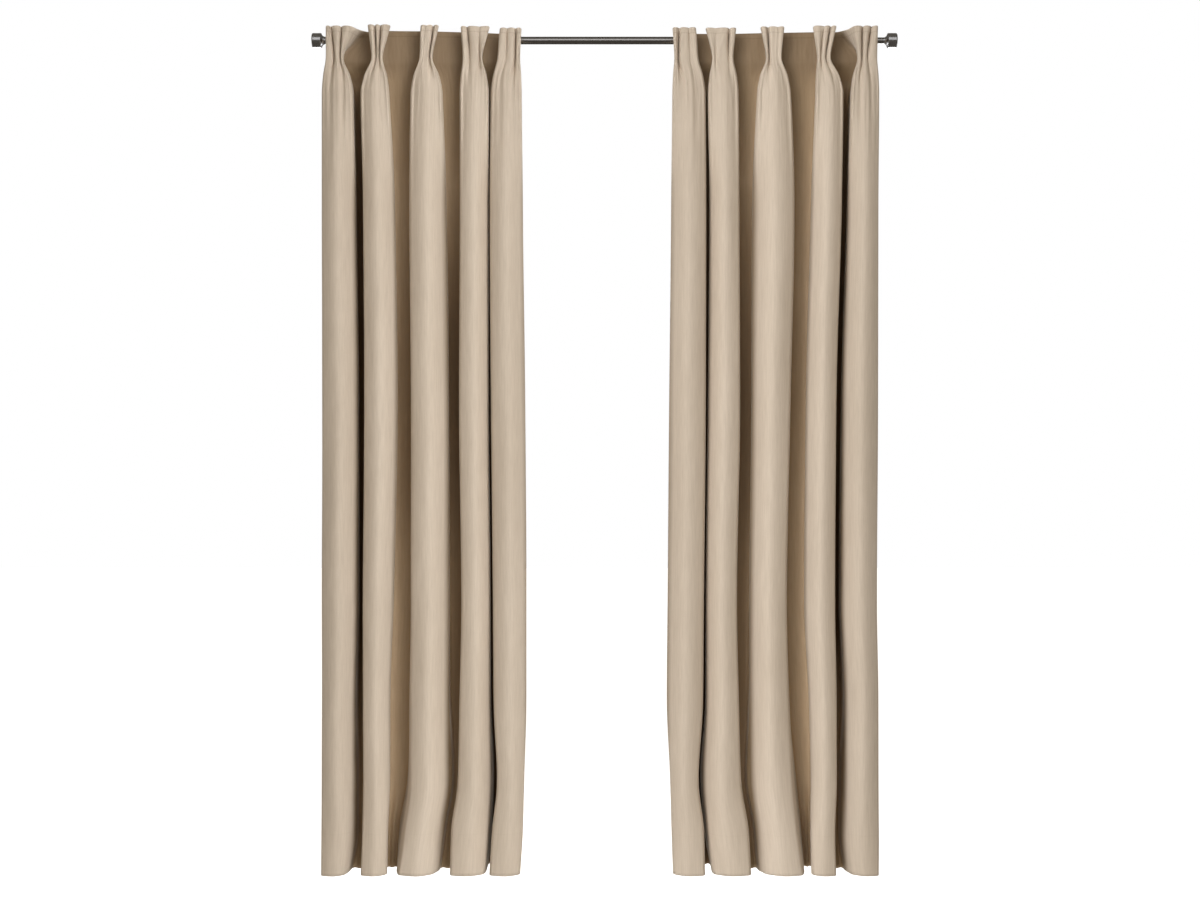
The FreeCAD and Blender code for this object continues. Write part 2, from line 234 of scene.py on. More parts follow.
# How far the heading's top edge lies above or below the pleat's own rise, at each control point of a pleat.
# Then how much of both is left at the tack, and where they have died away.
FINGER_DIPS_MM = (0, -2, -2, -0.5, 1, 0, -1.5, -1.5, 0, 1, 0, -1.5, -1.5, 0, 1, -0.5, -2, -2, 0)
TACK_RISE_SHARE = 0.3
RISE_END_DROP = 0.12

# How far the sides of a finger or fold lie behind its front.
EDGE_SETBACK = 0.016
# Seen from in front the sides look closer to the middle than they are, because they lie further off.
SIDE_SPREAD = 1.005
# How far a fold's sides bulge out beside its front, and draw in behind it.
SIDE_BULGE = 0.0025
WAIST = 0.009
# A side that spreads out into the web takes up no more than this share of the gap beside it.
LARGEST_SPREAD = 0.4
# The gap beside a panel's outer folds, where there is no neighbour.
OPEN_SIDE = 1.0
# Up to the first width, a valley between two folds is narrow, with its web at the back.  From the second
# width on it is wide.
NARROW_VALLEY = 0.022
WIDE_VALLEY = 0.042
# Control points across a web.
WEB_POINTS = 3

# The next tables have one value for each drop in FOLD_DROPS.
# The depth of the web in a wide valley and in a narrow one, and of the folds' fronts.
WIDE_WEB_DEPTHS = (0.094, 0.075, 0.068, 0.069, 0.070, 0.072, 0.076, 0.088)
NARROW_WEB_DEPTHS = (0.058, 0.042, 0.036, 0.036, 0.036, 0.037, 0.041, 0.047)
FRONT_DEPTHS = (0.165, 0.166, 0.167, 0.168, 0.169, 0.169, 0.169, 0.170)
# How far a fold's front falls back at its outer and inner edge, as a share of half its width.
OUTER_FALLS = (0.45, 0.55, 0.55, 0.55, 0.55, 0.50, 0.36, 0.22)
INNER_FALLS = (0.12, 1.15, 1.20, 1.20, 1.20, 1.08, 0.78, 0.48)
# How much of the finger ridges is left in the fold.
RIDGE_LEFT = (0.0030, 0, 0, 0, 0, 0, 0, 0)
# The outer two fingers run down the edges of the fold as a slight rim: its height.
RIM_LEFT = (0.0062, 0.0012, 0.0006, 0.0006, 0.0006, 0.0006, 0.0006, 0.0006)
# How much there is of a fold's spread, and of the ripple that a web has at the hem.
SPREAD_SHARES = (0, 0, 0, 0.1, 0.3, 0.7, 1.0, 0.7)
RIPPLE_SHARES = (0, 0, 0, 0, 0, 0.1, 0.9, 1.0)

# A fold's front: the deepest that it falls back, where its crest is across it, and how round it is.
DEEPEST_FALL = 0.056
CREST = 0.50
FALL_POWER = 1.8
# Where the control points lie across the front, and how the ridges and the rim run through them.
FRONT_SHARES = np.linspace(0.04, 0.96, 13)
RIDGE_SHAPE = (0, 1, 1, -1, -1, 1, 0, 1, -1, -1, 1, 1, 0)
RIM_SHAPE = (1.0, -0.6, -0.3, 0, 0, 0, 0, 0, 0, 0, -0.3, -0.6, 1.0)
# The ripple of a web at the hem, at its three points.
HEM_RIPPLE = (-0.005, 0.012, -0.004)

# The seams: one just below the top, the foot of the heading, the top of the hem, and in from the side edges.
TOP_LINE_DROP = 0.013
HEADING_HEIGHT = 0.102
HEM_DROP = 2.03
SIDE_HEM = 0.030
# Thickness of the cloth, and how wide the step is where it changes.
HEM_STEP = 0.006
HEADING_THICKNESS = 0.0026
CLOTH_THICKNESS = 0.0016
HEM_THICKNESS = 0.0022

# Slow wandering of the folds' fronts: how deep it is, how many waves it adds up, the shortest and longest
# waves across and down, and how far below the heading it reaches its full depth.
SWAY = 0.0012
SWAY_WAVES = 6
SWAY_ACROSS = (0.08, 0.30)
SWAY_DOWN = (0.35, 1.6)
SWAY_GROWTH = 0.4

# The mesh rows: close together in the heading, down to the first drop here, further apart in the long folds
# down to the second, and closer again in the hem.
ROW_BREAKS = (0.24, 1.98)
ROW_COUNTS = (42, 56, 18)
POINTS_PER_SPAN = 3


def mix(start, end, share):
    """What lies a share of the way from start to end, for numbers and for arrays."""
    return start + (end - start) * share


def finger_points(xs_mm, slits_mm, seam, front, web):
    """Control points (x, depth, dip) of one pleat in the heading.

    They run from seam to seam: a flank, three fingers with two slits between them, and a flank.
    """
    left, ridge_a, slit_a, ridge_b, slit_b, ridge_c, right = (x * MM for x in xs_mm)
    depth_a, depth_b = (front - depth * MM for depth in slits_mm)
    shoulder = front - FINGER_ROUND
    side = front - EDGE_SETBACK
    points = [
        (seam[0], web),
        (mix(seam[0], left, FLANK_OUT), mix(web, front, FLANK_FORWARD)),
        (left, side),
        (mix(left, ridge_a, FINGER_SHOULDER), shoulder), (ridge_a, front), (slit_a - SLIT_HALF, shoulder),
        (slit_a, depth_a), (slit_a, depth_a),
        (slit_a + SLIT_HALF, shoulder), (ridge_b, front), (slit_b - SLIT_HALF, shoulder),
        (slit_b, depth_b), (slit_b, depth_b),
        (slit_b + SLIT_HALF, shoulder), (ridge_c, front), (mix(right, ridge_c, FINGER_SHOULDER), shoulder),
        (right, side),
        (mix(seam[1], right, FLANK_OUT), mix(web, front, FLANK_FORWARD)),
        (seam[1], web),
    ]
    return [(x, depth, dip * MM) for (x, depth), dip in zip(points, FINGER_DIPS_MM)]


def fold_points(left, right, webs, waists, front, falls, ridge, rim):
    """Control points (x, depth) of one fold: back edge, side, crowned front, side, back edge.

    webs, waists and falls each have a value for the left side and one for the right.
    """
    left_fall, right_fall = (min(fall * (right - left) / 2, DEEPEST_FALL) for fall in falls)

    def crown(share):
        if share < CREST:
            return front - left_fall * (1 - share / CREST) ** FALL_POWER
        return front - right_fall * ((share - CREST) / (1 - CREST)) ** FALL_POWER

    points = [
        (left + waists[0], webs[0]),
        (left + waists[0], mix(webs[0], front, FLANK_FORWARD)),
        (left - SIDE_BULGE, crown(0) - EDGE_SETBACK),
    ]
    for share, ridge_here, rim_here in zip(FRONT_SHARES, RIDGE_SHAPE, RIM_SHAPE):
        points.append((mix(left, right, share), crown(share) + ridge * ridge_here + rim * rim_here))
    points += [
        (right + SIDE_BULGE, crown(1) - EDGE_SETBACK),
        (right - waists[1], mix(webs[1], front, FLANK_FORWARD)),
        (right - waists[1], webs[1]),
    ]
    return points


def heading_level(pleats, row, rise_share, slit_share=1.0):
    """Control points (x, depth, rise) across a panel in the heading.

    row is 'fan' or 'tack'.  The shares say how much there is of the top edge's rises and of the slits' depth.
    """
    at_top = row == "fan"
    web = HEADING_BACK + HEADING_THICKNESS + TAB_CLEARANCE
    front = FOLD_FRONT - FINGER_SETBACK - (0 if at_top else TACK_SETBACK)
    level = []
    for pleat in pleats:
        seam_middle = (pleat.tack[0] + pleat.tack[-1]) / 2 * MM
        seam = [seam_middle - SEAM_HALF, seam_middle + SEAM_HALF]
        xs = getattr(pleat, row)
        if at_top and pleat.flare is not None:
            seam[1 if pleat.flare > xs[3] else 0] = pleat.flare * MM
        slits = [depth * slit_share for depth in pleat.slits[0 if at_top else 1]]
        points = finger_points(xs, slits, seam, front, web)
        level.append([(x, depth, (pleat.rise * MM + dip) * rise_share) for x, depth, dip in points])
    return join_with_webs(level, (0, 0, 0))


def web_depth(opening, index):
    """The depth of the web in a valley of a given width, at one of the drops in FOLD_DROPS."""
    openness = float(np.clip((opening - NARROW_VALLEY) / (WIDE_VALLEY - NARROW_VALLEY), 0, 1))
    return mix(NARROW_WEB_DEPTHS[index], WIDE_WEB_DEPTHS[index], openness)


def waist_width(spread, share, gap):
    """How far a fold draws in behind its front, or spreads into the web instead where this is negative."""
    waist = mix(WAIST, -spread * MM, share) if spread else WAIST
    return max(waist, -LARGEST_SPREAD * gap)


def fold_level(pleats, index, falls):
    """Control points (x, depth, rise) across a panel at one of the drops in FOLD_DROPS."""
    edges = [[x * MM * SIDE_SPREAD for x in pleat.edges[index]] for pleat in pleats]
    gaps = [OPEN_SIDE] + [after[0] - before[1] for before, after in zip(edges, edges[1:])] + [OPEN_SIDE]
    share = SPREAD_SHARES[index]
    facing = [0] + [spread for pleat in pleats for spread in pleat.spread] + [0]
    webs = [
        web_depth(gap + (before + after) * MM * share, index)
        for gap, before, after in zip(gaps, facing[::2], facing[1::2])
    ]
    falls_here = [fall[index] for fall in falls]
    level = []
    for number, (pleat, (left, right)) in enumerate(zip(pleats, edges)):
        waists = [waist_width(spread, share, gap) for spread, gap in zip(pleat.spread, gaps[number:])]
        points = fold_points(
            left, right, webs[number:number + 2], waists, FRONT_DEPTHS[index], falls_here,
            ridge=RIDGE_LEFT[index] * pleat.crease, rim=RIM_LEFT[index],
        )
        level.append([(x, depth, 0.0) for x, depth in points])
    return join_with_webs(level, [height * RIPPLE_SHARES[index] for height in HEM_RIPPLE])


def join_with_webs(level, ripple):
    """One run of control points: each pleat's points, with evenly spaced web points between pleats."""
    run = list(level[0])
    for points in level[1:]:
        start = np.array(run[-1])
        end = np.array(points[0])
        for step in range(1, WEB_POINTS + 1):
            x, depth, rise = mix(start, end, step / (WEB_POINTS + 1))
            run.append((x, depth + ripple[step - 1], rise))
        run += points
    return np.array(run)


def spline_weights(count, samples_per_span):
    """Weights that turn control points into points on a clamped uniform cubic B-spline."""
    padded = [0, 0] + list(range(count)) + [count - 1, count - 1]
    rows = []
    spans = len(padded) - 3
    for span in range(spans):
        last = span == spans - 1
        for step in range(samples_per_span + (1 if last else 0)):
            t = step / samples_per_span
            basis = (
                (1 - t) ** 3 / 6,
                (3 * t ** 3 - 6 * t ** 2 + 4) / 6,
                (-3 * t ** 3 + 3 * t ** 2 + 3 * t + 1) / 6,
                t ** 3 / 6,
            )
            row = np.zeros(count)
            for offset, weight in enumerate(basis):
                row[padded[span + offset]] += weight
            rows.append(row)
    return np.array(rows)


def smooth_between(drops, levels, drop):
    """Monotone cubic interpolation of whole levels by height, so that folds don't overshoot."""
    drops = np.array(drops)
    steps = np.diff(drops)[:, None, None]
    slopes = np.diff(levels, axis=0) / steps
    tangents = np.zeros_like(levels)
    same_way = slopes[:-1] * slopes[1:] > 0
    safe = np.where(same_way, slopes[:-1] + slopes[1:], 1.0)
    tangents[1:-1] = np.where(same_way, 2 * slopes[:-1] * slopes[1:] / safe, 0.0)
    tangents[0] = slopes[0]
    tangents[-1] = slopes[-1]
    index = int(np.clip(np.searchsorted(drops, drop) - 1, 0, len(drops) - 2))
    width = drops[index + 1] - drops[index]
    t = (drop - drops[index]) / width
    return (
        (2 * t ** 3 - 3 * t ** 2 + 1) * levels[index]
        + (t ** 3 - 2 * t ** 2 + t) * width * tangents[index]
        + (-2 * t ** 3 + 3 * t ** 2) * levels[index + 1]
        + (t ** 3 - t ** 2) * width * tangents[index + 1]
    )


def row_drops():
    """The drop of each mesh row, from the top to the hem."""
    heading_end, hem_start = ROW_BREAKS
    heading_rows, fold_rows, hem_rows = ROW_COUNTS
    heading = np.linspace(0, heading_end, heading_rows)
    folds = np.linspace(heading_end, hem_start, fold_rows)[1:]
    hem = np.linspace(hem_start, DROP, hem_rows)[1:]
    return np.concatenate([heading, folds, hem])


class ClothShape:
    """The front of one panel's cloth: control points by height, turned into points on the cloth."""

    def __init__(self, pleats, falls, seed):
        top = heading_level(pleats, "fan", 1.0, TOP_SLIT_SHARE)
        tack = heading_level(pleats, "tack", TACK_RISE_SHARE)
        fan = mix(heading_level(pleats, "fan", 1.0), tack, FAN_CLOSING)
        folds = [fold_level(pleats, index, falls) for index in range(len(FOLD_DROPS))]
        opening = mix(tack, folds[0], OPENING_SHARE)
        self.levels = np.array([top, fan, tack, opening] + folds)
        self.drops = (0.0, FAN_DROP, TACK_DROP, OPENING_DROP) + FOLD_DROPS
        self.weights = spline_weights(self.levels.shape[1], POINTS_PER_SPAN)
        draw = np.random.default_rng(seed)
        self.waves_across = 2 * math.pi / draw.uniform(*SWAY_ACROSS, size=SWAY_WAVES)
        self.waves_down = 2 * math.pi / draw.uniform(*SWAY_DOWN, size=SWAY_WAVES)
        self.phases = draw.uniform(0, 2 * math.pi, size=SWAY_WAVES)

    def sway(self, x, drop):
        """How far the cloth wanders forwards at a place on the panel."""
        angles = x[:, None] * self.waves_across + drop * self.waves_down + self.phases
        growth = np.clip((drop - HEADING_HEIGHT) / SWAY_GROWTH, 0, 1)
        return SWAY * growth * np.sin(angles).sum(axis=1) / math.sqrt(SWAY_WAVES)

    def row(self, drop):
        """Points (x, y, z) across the panel at one height."""
        control = smooth_between(self.drops, self.levels, drop).copy()
        control[:, 1] += self.sway(control[:, 0], drop)
        points = self.weights @ control
        fade = max(0.0, 1 - drop / RISE_END_DROP)
        heights = HEADING_TOP - drop + points[:, 2] * fade
        return np.stack([points[:, 0], -points[:, 1], heights], axis=1)


def arc_lengths(points):
    """How far along a run of points each one lies."""
    return np.concatenate([[0], np.cumsum(np.linalg.norm(np.diff(points, axis=0), axis=1))])


def grid_mesh(name, grid):
    """A quad mesh over a grid of points, with two UV maps in metres of cloth.

    'cloth' runs across by arc length and down from the top.  'seams' runs in from the nearer side edge.
    """
    rows, columns = grid.shape[:2]
    index = np.arange(rows * columns).reshape(rows, columns)
    corners = (index[:-1, :-1], index[1:, :-1], index[1:, 1:], index[:-1, 1:])
    quads = np.stack(corners, axis=-1).reshape(-1, 4)
    mesh = bpy.data.meshes.new(name)
    mesh.from_pydata(grid.reshape(-1, 3).tolist(), [], quads.tolist())
    across = arc_lengths(grid[rows // 2])
    down = np.concatenate([[0], np.cumsum(np.abs(np.diff(grid[:, 0, 2])))])
    loops = np.zeros(len(mesh.loops), dtype=np.int32)
    mesh.loops.foreach_get("vertex_index", loops)
    for map_name, sideways in (("cloth", across), ("seams", np.minimum(across, across[-1] - across))):
        uv = np.stack(np.broadcast_arrays(sideways[None, :], down[:, None]), axis=-1).reshape(-1, 2)
        layer = mesh.uv_layers.new(name=map_name)
        layer.data.foreach_set("uv", uv[loops].astype(np.float32).ravel())
    mesh.shade_smooth()
    return mesh


def add_object(name, mesh, material):
    """Put a mesh in the scene as an object of one material."""
    thing = bpy.data.objects.new(name, mesh)
    scene.collection.objects.link(thing)
    mesh.materials.append(material)
    return thing


def apply_modifiers(thing):
    """Make the evaluated mesh the object's own, so that it is final."""
    graph = bpy.context.evaluated_depsgraph_get()
    mesh = bpy.data.meshes.new_from_object(thing.evaluated_get(graph))
    thing.modifiers.clear()
    thing.data = mesh


def hem_step(distance):
    """From 0 to 1 as a distance passes through zero, over the width of a turned edge."""
    return np.clip(distance / HEM_STEP + 0.5, 0, 1)


def thickness_shares(drop, in_from_side):
    """Thickness along a row, as a share of the heading's.  The heading and all the hems are folded double."""
    heading = hem_step(HEADING_HEIGHT - drop)
    hem = hem_step(drop - HEM_DROP)
    side_hem = hem_step(SIDE_HEM - in_from_side)
    folded = np.maximum(hem, side_hem) * (HEM_THICKNESS - CLOTH_THICKNESS)
    doubled = np.maximum(folded, heading * (HEADING_THICKNESS - CLOTH_THICKNESS))
    return (CLOTH_THICKNESS + doubled) / HEADING_THICKNESS


def mark_sides(panel, grid):
    """Store how far behind the crests each point of the front lies, for the painted shade in the valleys, and
    which points are on the reverse.
    """
    valley = np.zeros(len(panel.data.vertices), dtype=np.float32)
    reverse = np.ones(len(panel.data.vertices), dtype=np.float32)
    depths = -grid[:, :, 1].ravel()
    valley[:depths.size] = np.clip(1 - depths / FOLD_FRONT, 0, 1)
    reverse[:depths.size] = 0
    for name, values in (("valley", valley), ("reverse", reverse)):
        panel.data.attributes.new(name, "FLOAT", "POINT").data.foreach_set("value", values)


def build_panel(side, pleats, falls, seed, material):
    """One panel's cloth: its front as a single sheet, thickened backwards into a closed shell."""
    shape = ClothShape(pleats, falls, seed)
    drops = row_drops()
    grid = np.array([shape.row(drop) for drop in drops])
    name = f"{side}_curtain_panel"
    panel = add_object(name, grid_mesh(name, grid), material)
    group = panel.vertex_groups.new(name="thickness")
    columns = grid.shape[1]
    across = arc_lengths(grid[len(drops) // 2])
    in_from_side = np.minimum(across, across[-1] - across)
    for row, drop in enumerate(drops):
        for column, share in enumerate(thickness_shares(drop, in_from_side)):
            group.add([row * columns + column], float(share), "REPLACE")
    shell = panel.modifiers.new("shell", "SOLIDIFY")
    shell.thickness = HEADING_THICKNESS
    shell.offset = -1
    shell.vertex_group = "thickness"
    apply_modifiers(panel)
    mark_sides(panel, grid)
    return panel


# --- Materials ----------------------------------------------------------------------------------------------

def new_material(name):
    """A material with its node tree and its shader."""
    material = bpy.data.materials.new(name)
    material.use_nodes = True
    return material, material.node_tree, material.node_tree.nodes["Principled BSDF"]


def add_node(tree, kind, settings=None, **values):
    """A node with its settings and the values of its unlinked inputs."""
    node = tree.nodes.new(kind)
    for key, value in (settings or {}).items():
        setattr(node, key, value)
    for key, value in values.items():
        node.inputs[key].default_value = value
    return node


def scaled(tree, source, scale):
    """Coordinates multiplied by a scale for each axis."""
    mapping = add_node(tree, "ShaderNodeMapping", Scale=scale)
    tree.links.new(source, mapping.inputs["Vector"])
    return mapping.outputs["Vector"]


def noise(tree, vector, scale, detail=3.0, roughness=0.55):
    """A noise texture's value."""
    node = add_node(tree, "ShaderNodeTexNoise", Scale=scale, Detail=detail, Roughness=roughness)
    tree.links.new(vector, node.inputs["Vector"])
    return node.outputs["Fac"]


def ramp(tree, fac, stops):
    """A colour ramp through (position, colour) stops."""
    node = tree.nodes.new("ShaderNodeValToRGB")
    elements = node.color_ramp.elements
    while len(elements) < len(stops):
        elements.new(0.5)
    for element, (position, colour) in zip(elements, stops):
        element.position = position
        element.color = (*colour, 1)
    tree.links.new(fac, node.inputs["Fac"])
    return node.outputs["Color"]


def value_range(tree, value, low, high, start=0.0, end=1.0):
    """Run from low to high as the value goes from start to end."""
    node = add_node(tree, "ShaderNodeMapRange")
    node.inputs["From Min"].default_value = start
    node.inputs["From Max"].default_value = end
    node.inputs["To Min"].default_value = low
    node.inputs["To Max"].default_value = high
    tree.links.new(value, node.inputs["Value"])
    return node.outputs["Result"]


def math_node(tree, operation, first, second):
    """The result of an operation on two sockets or numbers."""
    node = add_node(tree, "ShaderNodeMath", {"operation": operation})
    for socket, value in zip(node.inputs, (first, second)):
        if isinstance(value, (int, float)):
            socket.default_value = value
        else:
            tree.links.new(value, socket)
    return node.outputs["Value"]


def largest(tree, values):
    """The largest of several values."""
    result = values[0]
    for value in values[1:]:
        result = math_node(tree, "MAXIMUM", result, value)
    return result


def multiply_colours(tree, first, second, share=1.0):
    """The first colour, tinted by a share of the second."""
    node = add_node(tree, "ShaderNodeMix", {"data_type": "RGBA", "blend_type": "MULTIPLY"})
    node.inputs["Factor"].default_value = share
    tree.links.new(first, node.inputs["A"])
    tree.links.new(second, node.inputs["B"])
    return node.outputs["Result"]


def bump(tree, bsdf, height, strength, distance, under=None):
    """Drive the shader's normal with a height; under is a coarser bump that this one sits on."""
    node = add_node(tree, "ShaderNodeBump", Strength=strength, Distance=distance)
    tree.links.new(height, node.inputs["Height"])
    if under is not None:
        tree.links.new(under, node.inputs["Normal"])
    tree.links.new(node.outputs["Normal"], bsdf.inputs["Normal"])
    return node.outputs["Normal"]


def band(tree, value, line, half_width):
    """One on a line, falling to zero at half_width either side of it."""
    distance = math_node(tree, "ABSOLUTE", math_node(tree, "SUBTRACT", value, line), 0.0)
    return value_range(tree, distance, 1.0, 0.0, end=half_width)


# Painted shade by how far behind the crests the cloth lies: none on the crests, a deeper and warmer colour on
# the folds' sides and the webs, and darkest in the narrow gaps.
VALLEY_SHADE_TONES = (
    (0.22, (1.0, 1.0, 1.0)),
    (0.38, (0.42, 0.345, 0.25)),
    (0.46, (0.61, 0.515, 0.38)),
    (0.55, (0.75, 0.64, 0.49)),
    (0.60, (0.85, 0.74, 0.58)),
    (0.66, (0.62, 0.51, 0.37)),
    (0.78, (0.22, 0.145, 0.075)),
)
PLAIN = (1, 1, 1)
SLUB_TONES = ((0.30, (0.90, 0.89, 0.88)), (0.62, PLAIN))
YARN_TONES = ((0.30, (0.92, 0.91, 0.90)), (0.60, PLAIN))
# Painted shade in a seam's groove.
GROOVE_SHADE_TONES = ((0.0, PLAIN), (1.0, (0.88, 0.86, 0.83)))
STITCH_TONES = ((0.0, PLAIN), (1.0, (0.72, 0.68, 0.62)))
# How fine the cloth's patterns are across and down it, in features per metre.  The waves of the weave come
# out 0.73 mm and 0.95 mm apart.
DRIFT_SCALE = (5.0, 1.6, 1)
SLUB_SCALE = (260, 14, 1)
YARN_SCALE = (1500, 1500, 1)
RUMPLE_SCALE = (16, 5, 1)
DRAG_SCALE = (75, 9, 1)
WARP_SCALE = 430
WEFT_SCALE = 330
WEAVE_DISTORTION = 0.4
# How much of the yarns' tone shows.
YARN_SHARE = 0.7
# How much the weave, the seam grooves and the drag lines count in the bump.
WEAVE_HEIGHT = 0.35
GROOVE_DEPTH = 2.0
DRAG_HEIGHT = 1.3
# The drag lines slant by this angle either way, and fade out between these drops.
DRAG_SLANT = 0.5
DRAG_FADE = (0.05, 0.34)
CLOTH_ROUGHNESS = (0.58, 0.74)
SHEEN_ROUGHNESS = 0.32
SHEEN_TINT = (1.0, 0.95, 0.88, 1)
CLOTH_SPECULAR = 0.25
# Seams: the half widths of groove and stitches, half the length from stitch to stitch, and half the gap.
GROOVE_HALF = 0.0025
STITCH_HALF = 0.0008
STITCH_LENGTH = 0.0018
STITCH_GAP = 0.0005
# How clearly each seam shows on the front of the cloth.
SIDE_HEM_SHOWS = 0.1
HEM_SHOWS = 0.1
HEADING_SEAM_SHOWS = 0.0
TOP_LINE_SHOWS = 0.6


def seam_lines(tree):
    """The drop, and the seams' grooves and stitches, which are fainter on the front than on the reverse."""
    seams = add_node(tree, "ShaderNodeUVMap", {"uv_map": "seams"}).outputs["UV"]
    split = tree.nodes.new("ShaderNodeSeparateXYZ")
    tree.links.new(seams, split.inputs["Vector"])
    inward, down = split.outputs["X"], split.outputs["Y"]
    reverse = add_node(tree, "ShaderNodeAttribute", {"attribute_name": "reverse"}).outputs["Fac"]
    grooves = []
    threads = []
    for across, along, line, on_front in (
        (inward, down, SIDE_HEM, SIDE_HEM_SHOWS),
        (down, inward, HEM_DROP, HEM_SHOWS),
        (down, inward, HEADING_HEIGHT, HEADING_SEAM_SHOWS),
        (down, inward, TOP_LINE_DROP, TOP_LINE_SHOWS),
    ):
        clearness = value_range(tree, reverse, on_front, 1.0)
        grooves.append(math_node(tree, "MULTIPLY", band(tree, across, line, GROOVE_HALF), clearness))
        thread = math_node(tree, "MULTIPLY", band(tree, across, line, STITCH_HALF), clearness)
        repeat = math_node(tree, "PINGPONG", along, STITCH_LENGTH)
        dashes = math_node(tree, "GREATER_THAN", repeat, STITCH_GAP)
        threads.append(math_node(tree, "MULTIPLY", thread, dashes))
    return down, largest(tree, grooves), largest(tree, threads)


def cloth_rumples(tree, bsdf, cloth, down):
    """Soft rumples all over, and slanting drag lines that run down out of the pinched heading."""
    height = noise(tree, scaled(tree, cloth, RUMPLE_SCALE), 1.0, detail=2)
    near_heading = value_range(tree, down, 1.0, 0.0, *DRAG_FADE)
    for slant in (DRAG_SLANT, -DRAG_SLANT):
        mapping = add_node(tree, "ShaderNodeMapping", Scale=DRAG_SCALE, Rotation=(0, 0, slant))
        tree.links.new(cloth, mapping.inputs["Vector"])
        drag = noise(tree, mapping.outputs["Vector"], 1.0, detail=2)
        faded = math_node(tree, "MULTIPLY", drag, near_heading)
        height = math_node(tree, "ADD", height, math_node(tree, "MULTIPLY", faded, DRAG_HEIGHT))
    return bump(tree, bsdf, height, strength=0.5, distance=0.006)


def cloth_material(name, light, dark, sheen, is_panel=True):
    """Sateen: a fine close weave, faint vertical slubs, a soft drift of tone and a sheen at grazing angles.

    A panel's cloth also has painted shade in its valleys and seam grooves, and its seams' stitches and
    rumples, from its own UV maps and attributes.
    """
    material, tree, bsdf = new_material(name)
    if is_panel:
        cloth = add_node(tree, "ShaderNodeUVMap", {"uv_map": "cloth"}).outputs["UV"]
    else:
        cloth = add_node(tree, "ShaderNodeTexCoord").outputs["Object"]
    drift = noise(tree, scaled(tree, cloth, DRIFT_SCALE), 1.0, detail=4)
    slub = noise(tree, scaled(tree, cloth, SLUB_SCALE), 1.0, detail=4, roughness=0.65)
    yarn = noise(tree, scaled(tree, cloth, YARN_SCALE), 1.0, detail=2)
    base = ramp(tree, drift, ((0.32, dark), (0.68, light)))
    slubbed = multiply_colours(tree, base, ramp(tree, slub, SLUB_TONES))
    toned = multiply_colours(tree, slubbed, ramp(tree, yarn, YARN_TONES), YARN_SHARE)
    waves = []
    for direction, scale in (("X", WARP_SCALE), ("Y", WEFT_SCALE)):
        settings = {"bands_direction": direction}
        wave = add_node(tree, "ShaderNodeTexWave", settings, Scale=scale, Distortion=WEAVE_DISTORTION)
        tree.links.new(cloth, wave.inputs["Vector"])
        waves.append(wave.outputs["Fac"])
    weave = math_node(tree, "MULTIPLY", *waves)
    height = math_node(tree, "ADD", math_node(tree, "MULTIPLY", weave, WEAVE_HEIGHT), slub)
    rumples = None
    if is_panel:
        valley = add_node(tree, "ShaderNodeAttribute", {"attribute_name": "valley"}).outputs["Fac"]
        # Painted shade in the valleys, by how far behind the crests the cloth lies.
        toned = multiply_colours(tree, toned, ramp(tree, valley, VALLEY_SHADE_TONES))
        down, groove, stitches = seam_lines(tree)
        # Painted shade in the seams' grooves, besides the grooves' bump below.
        toned = multiply_colours(tree, toned, ramp(tree, groove, GROOVE_SHADE_TONES))
        toned = multiply_colours(tree, toned, ramp(tree, stitches, STITCH_TONES))
        height = math_node(tree, "SUBTRACT", height, math_node(tree, "MULTIPLY", groove, GROOVE_DEPTH))
        rumples = cloth_rumples(tree, bsdf, cloth, down)
    tree.links.new(toned, bsdf.inputs["Base Color"])
    bump(tree, bsdf, height, strength=0.22, distance=0.0004, under=rumples)
    tree.links.new(value_range(tree, slub, *CLOTH_ROUGHNESS), bsdf.inputs["Roughness"])
    bsdf.inputs["Sheen Weight"].default_value = sheen
    bsdf.inputs["Sheen Roughness"].default_value = SHEEN_ROUGHNESS
    bsdf.inputs["Sheen Tint"].default_value = SHEEN_TINT
    bsdf.inputs["Specular IOR Level"].default_value = CLOTH_SPECULAR
    return material


# Plated metal: how fine its dull patches are, their tone and how much of it shows, the brushing's share in
# the roughness, and how far the roughness goes either side of the piece's own.
PATCH_SCALE = 55.0
PATCH_TONES = ((0.35, (0.93, 0.925, 0.92)), (0.60, PLAIN))
PATCH_SHARE = 0.8
BRUSHING_SHARE = 0.6
METAL_ROUGHNESS_SPAN = (0.9, 1.15)
# Powder coat: how fine its orange peel and its drift of tone are.
PEEL_SCALE = 1400.0
PAINT_DRIFT_SCALE = 40.0
PAINT_ROUGHNESS = (0.34, 0.48)
PAINT_METALLIC = 0.55
# Nylon: its flow marks run along the rod.
FLOW_SCALE = (30, 160, 160)
NYLON_TONES = ((0.3, (0.52, 0.50, 0.45)), (0.7, (0.66, 0.64, 0.58)))
NYLON_ROUGHNESS = (0.38, 0.52)
# The studio floor.
FLOOR_MOTTLE_SCALE = 1.5
FLOOR_TONES = ((0.3, (0.93, 0.93, 0.93)), (0.7, (0.95, 0.95, 0.95)))
FLOOR_GLOW = 0.85


